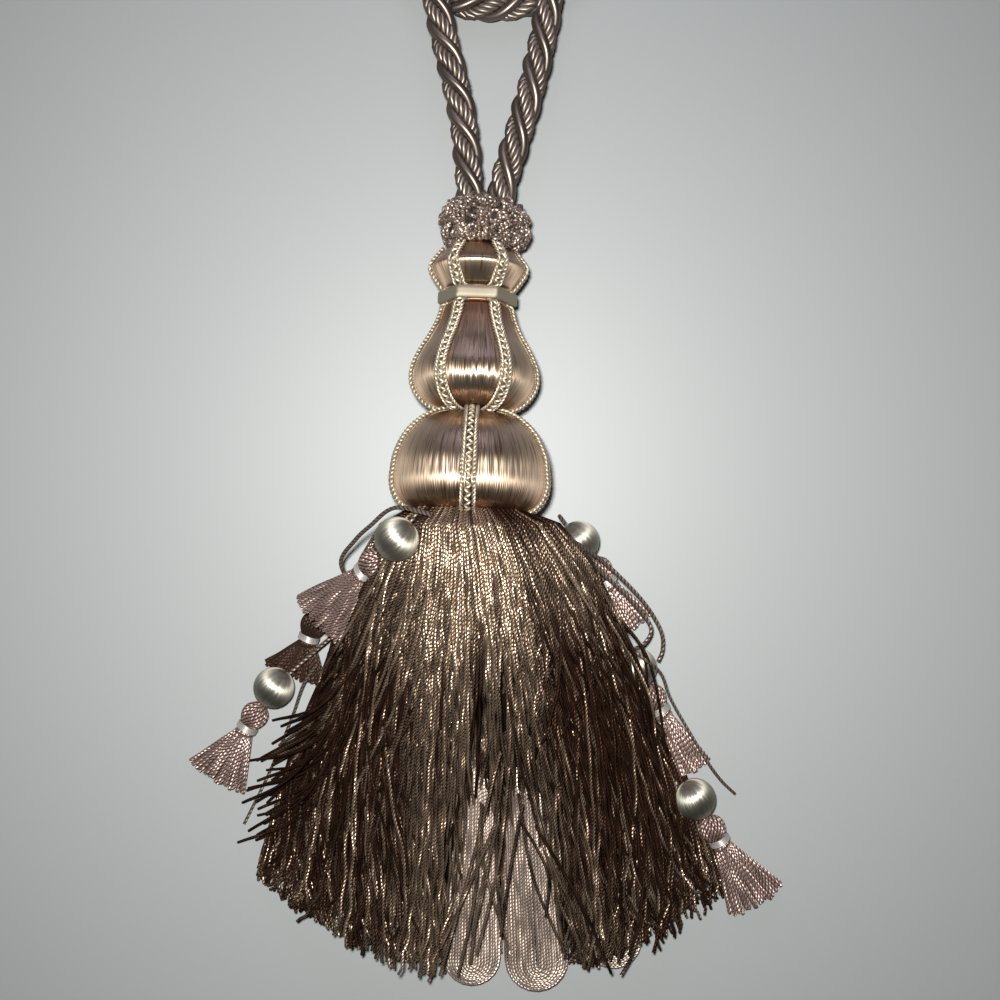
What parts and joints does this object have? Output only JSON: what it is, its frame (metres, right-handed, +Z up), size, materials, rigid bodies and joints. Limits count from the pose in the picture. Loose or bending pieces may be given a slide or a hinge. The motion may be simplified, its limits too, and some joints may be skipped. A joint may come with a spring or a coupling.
{
  "type": "curtain tieback tassel",
  "caption": "Tieback tassel with a looped rope, turned satin-wound head trimmed with braid, a full bullion fringe skirt and small beaded side tassels.",
  "frame": {"origin": "on the surface it lies on, under the middle of the tassel without its rope and loose cords", "axes": "+Y from the skirt's fringe to the rope, +Z up from the surface"},
  "size_m": [0.2365, 0.4811, 0.0604],
  "materials": {
    "rope_yarn": "twisted satin cord, taupe with a cream sheen",
    "ruff_gimp": "crimped looped gimp cord, bronze with cream crossings",
    "satin_winding": "lengthwise satin threads, rose brown with a strong sheen across the widest part",
    "neck_gimp": "wound gimp cord, cream",
    "braid_gimp": "flat plaited gimp, champagne",
    "skirt_yarn": "two-ply twisted rayon bullion yarn, dark bronze brown, pale in the middle",
    "hank_yarn": "softer looped yarn, pale taupe",
    "bead_winding": "satin-wound bead, champagne and olive",
    "small_tassel_yarn": "two-ply twisted yarn, rose mauve",
    "tie_thread": "wound binding thread, silver white",
    "fine_cord": "fine twisted cord, rose taupe"
  },
  "bodies": {
    "root": {"ball": "satin_winding", "ball_braid_front_0": "braid_gimp", "ball_braid_left_141": "braid_gimp", "ball_braid_left_78": "braid_gimp", "ball_braid_right_141": "braid_gimp", "ball_braid_right_78": "braid_gimp", "bead_left_lower": "bead_winding", "bead_left_middle": "bead_winding", "bead_left_upper": "bead_winding", "bead_right_lower": "bead_winding", "bead_right_middle": "bead_winding", "bead_right_upper": "bead_winding", "crown": "satin_winding", "drop_cord_left_lower": "fine_cord", "drop_cord_left_middle": "fine_cord", "drop_cord_left_upper": "fine_cord", "drop_cord_right_lower": "fine_cord", "drop_cord_right_middle": "fine_cord", "drop_cord_right_upper": "fine_cord", "hank_far_left": "hank_yarn", "hank_far_right": "hank_yarn", "hank_left": "hank_yarn", "hank_middle": "hank_yarn", "hank_right": "hank_yarn", "long_braid_left_150": "braid_gimp", "long_braid_left_30": "braid_gimp", "long_braid_left_90": "braid_gimp", "long_braid_right_150": "braid_gimp", "long_braid_right_30": "braid_gimp", "long_braid_right_90": "braid_gimp", "loose_thread_left": "fine_cord", "loose_thread_right": "fine_cord", "neck_band": "neck_gimp", "pear": "satin_winding", "rope": "rope_yarn", "ruff": "ruff_gimp", "skirt_fringe": "skirt_yarn", "small_tassel_left_lower": "small_tassel_yarn", "small_tassel_left_middle": "small_tassel_yarn", "small_tassel_left_upper": "small_tassel_yarn", "small_tassel_right_lower": "small_tassel_yarn", "small_tassel_right_middle": "small_tassel_yarn", "small_tassel_right_upper": "small_tassel_yarn", "tie_band_left_lower": "tie_thread", "tie_band_left_middle": "tie_thread", "tie_band_left_upper": "tie_thread", "tie_band_right_lower": "tie_thread", "tie_band_right_middle": "tie_thread", "tie_band_right_upper": "tie_thread"}
  },
  "joints": []
}
